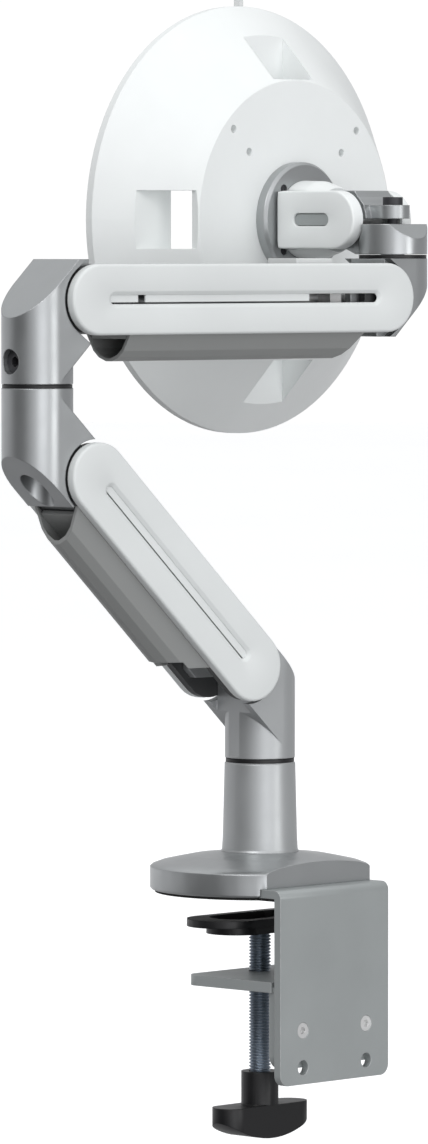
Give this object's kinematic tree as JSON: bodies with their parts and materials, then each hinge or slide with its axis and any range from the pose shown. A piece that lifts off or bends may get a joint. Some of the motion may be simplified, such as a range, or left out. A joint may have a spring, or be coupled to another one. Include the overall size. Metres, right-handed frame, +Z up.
{
  "type": "monitor arm",
  "caption": "Two-link desk-clamp monitor arm: gas-spring links on swivel knuckles, slotted covers, cable channels, and a tilting, turning head with a round dish plate",
  "frame": {"origin": "on the post axis, in the rubber face that rests on the desk top", "axes": "+Z up; -Y towards the screen; the clamp plate hangs over the desk edge at +Y; both links lie near X"},
  "size_m": [0.3884, 0.1653, 0.6223],
  "materials": {
    "white_plastic": "satin moulded plastic, cool white",
    "dark_paint": "dark grey powder coat on steel plate",
    "silver_cast": "silver paint on die-cast aluminium",
    "grey_paint": "grey-silver powder coat on pressed steel",
    "spring_tube": "plated steel tube",
    "bright_steel": "bright zinc-plated steel",
    "zinc_steel": "blue-passivated steel",
    "dark_steel": "black oxide on steel",
    "black_plastic": "black moulded nylon",
    "black_rubber": "black foam rubber",
    "grey_plastic": "mid-grey moulded plastic",
    "clear_plastic": "frosted translucent plastic"
  },
  "bodies": {
    "base": {"desk_pad": "black_rubber", "base_housing": "silver_cast", "clamp_bracket": "grey_paint", "lower_jaw": "grey_paint", "jaw_screws": "bright_steel", "flange_screws": "dark_steel", "post": "silver_cast", "post_bolt": "dark_steel", "base_spindle": "bright_steel", "base_ring": "black_plastic", "base_nut": "bright_steel"},
    "clamp_pad": {"pressure_pad": "black_plastic"},
    "clamp_screw_set": {"clamp_screw": "zinc_steel", "screw_rivet": "bright_steel", "clamp_knob": "black_plastic"},
    "base_knuckle_set": {"base_knuckle": "silver_cast"},
    "lower_arm": {"lower_frame": "dark_paint", "lower_web": "dark_paint", "lower_cover_rear": "white_plastic", "lower_cover_front": "white_plastic", "lower_pins": "bright_steel", "lower_gas_tube": "spring_tube", "lower_gas_rod": "bright_steel", "lower_tray": "grey_plastic", "lower_channel_rear": "grey_plastic", "lower_channel_front": "grey_plastic"},
    "elbow_lower_set": {"elbow_lower_knuckle": "silver_cast", "elbow_ring": "black_plastic"},
    "elbow_upper_set": {"elbow_upper_knuckle": "silver_cast", "elbow_spindle": "bright_steel", "elbow_nut": "bright_steel", "elbow_brake_screw": "dark_steel"},
    "upper_arm": {"upper_frame": "dark_paint", "upper_web": "dark_paint", "upper_cover_rear": "white_plastic", "upper_cover_front": "white_plastic", "upper_pins": "bright_steel", "upper_gas_tube": "spring_tube", "upper_gas_rod": "bright_steel", "upper_tray": "grey_plastic", "upper_channel_rear": "grey_plastic", "upper_channel_front": "grey_plastic", "upper_cap": "white_plastic"},
    "head_knuckle_set": {"head_knuckle": "silver_cast", "head_ring": "black_plastic"},
    "tilt_knuckle_set": {"tilt_knuckle": "silver_cast", "head_spindle": "bright_steel", "head_nut": "bright_steel", "tilt_screw": "dark_steel"},
    "tilt_head": {"tilt_frame": "grey_paint", "tilt_cover_right": "white_plastic", "tilt_cover_left": "white_plastic", "tilt_pin": "bright_steel", "turn_hub": "white_plastic"},
    "screen_plate": {"round_plate": "silver_cast", "plate_screws": "dark_steel", "dish": "white_plastic", "rim_tab": "clear_plastic"}
  },
  "joints": [
    {"name": "base_swivel", "type": "hinge", "parent": "base", "child": "base_knuckle_set", "pos_m": [0, 0, 0.073], "axis": [0, 0, 1], "range_deg": [-170, 170]},
    {"name": "lower_arm_lift", "type": "hinge", "parent": "base_knuckle_set", "child": "lower_arm", "pos_m": [0.02387, -0.00251, 0.1241], "axis": [0.1045, 0.9945, 0], "range_deg": [0, 55]},
    {"name": "elbow_level", "type": "hinge", "parent": "lower_arm", "child": "elbow_lower_set", "pos_m": [0.13035, -0.0137, 0.22786], "axis": [0.1045, 0.9945, 0], "range_deg": [-55, 0]},
    {"name": "elbow_swivel", "type": "hinge", "parent": "elbow_lower_set", "child": "elbow_upper_set", "pos_m": [0.15422, -0.01621, 0.27526], "axis": [0, 0, 1], "range_deg": [-150, 150]},
    {"name": "upper_arm_lift", "type": "hinge", "parent": "elbow_upper_set", "child": "upper_arm", "pos_m": [0.13035, -0.0137, 0.32186], "axis": [0.1045, 0.9945, 0], "range_deg": [-35, 35]},
    {"name": "head_level", "type": "hinge", "parent": "upper_arm", "child": "head_knuckle_set", "pos_m": [-0.07183, 0.00755, 0.32186], "axis": [0.1045, 0.9945, 0], "range_deg": [-35, 35]},
    {"name": "head_swivel", "type": "hinge", "parent": "head_knuckle_set", "child": "tilt_knuckle_set", "pos_m": [-0.0957, 0.01006, 0.34306], "axis": [0, 0, 1], "range_deg": [-150, 8]},
    {"name": "head_tilt", "type": "hinge", "parent": "tilt_knuckle_set", "child": "tilt_head", "pos_m": [-0.0957, -0.01334, 0.36436], "axis": [1, 0, 0], "range_deg": [-70, 20]},
    {"name": "screen_turn", "type": "hinge", "parent": "tilt_head", "child": "screen_plate", "pos_m": [-0.0957, -0.06294, 0.36436], "axis": [0, 1, 0], "range_deg": [-90, 90]},
    {"name": "pad_slide", "type": "slide", "parent": "base", "child": "clamp_pad", "axis": [0, 0, 1], "range_m": [-0.021, 0.012]},
    {"name": "screw_turn", "type": "hinge", "parent": "clamp_pad", "child": "clamp_screw_set", "pos_m": [0, 0, -0.098], "axis": [0, 0, 1], "range_deg": [-4321, 2470]}
  ],
  "couplings": [
    {"joint": "elbow_level", "follows": "lower_arm_lift", "ratio": -1},
    {"joint": "head_level", "follows": "upper_arm_lift", "ratio": -1},
    {"joint": "screw_turn", "follows": "pad_slide", "rad_per_m": 3590.4}
  ]
}
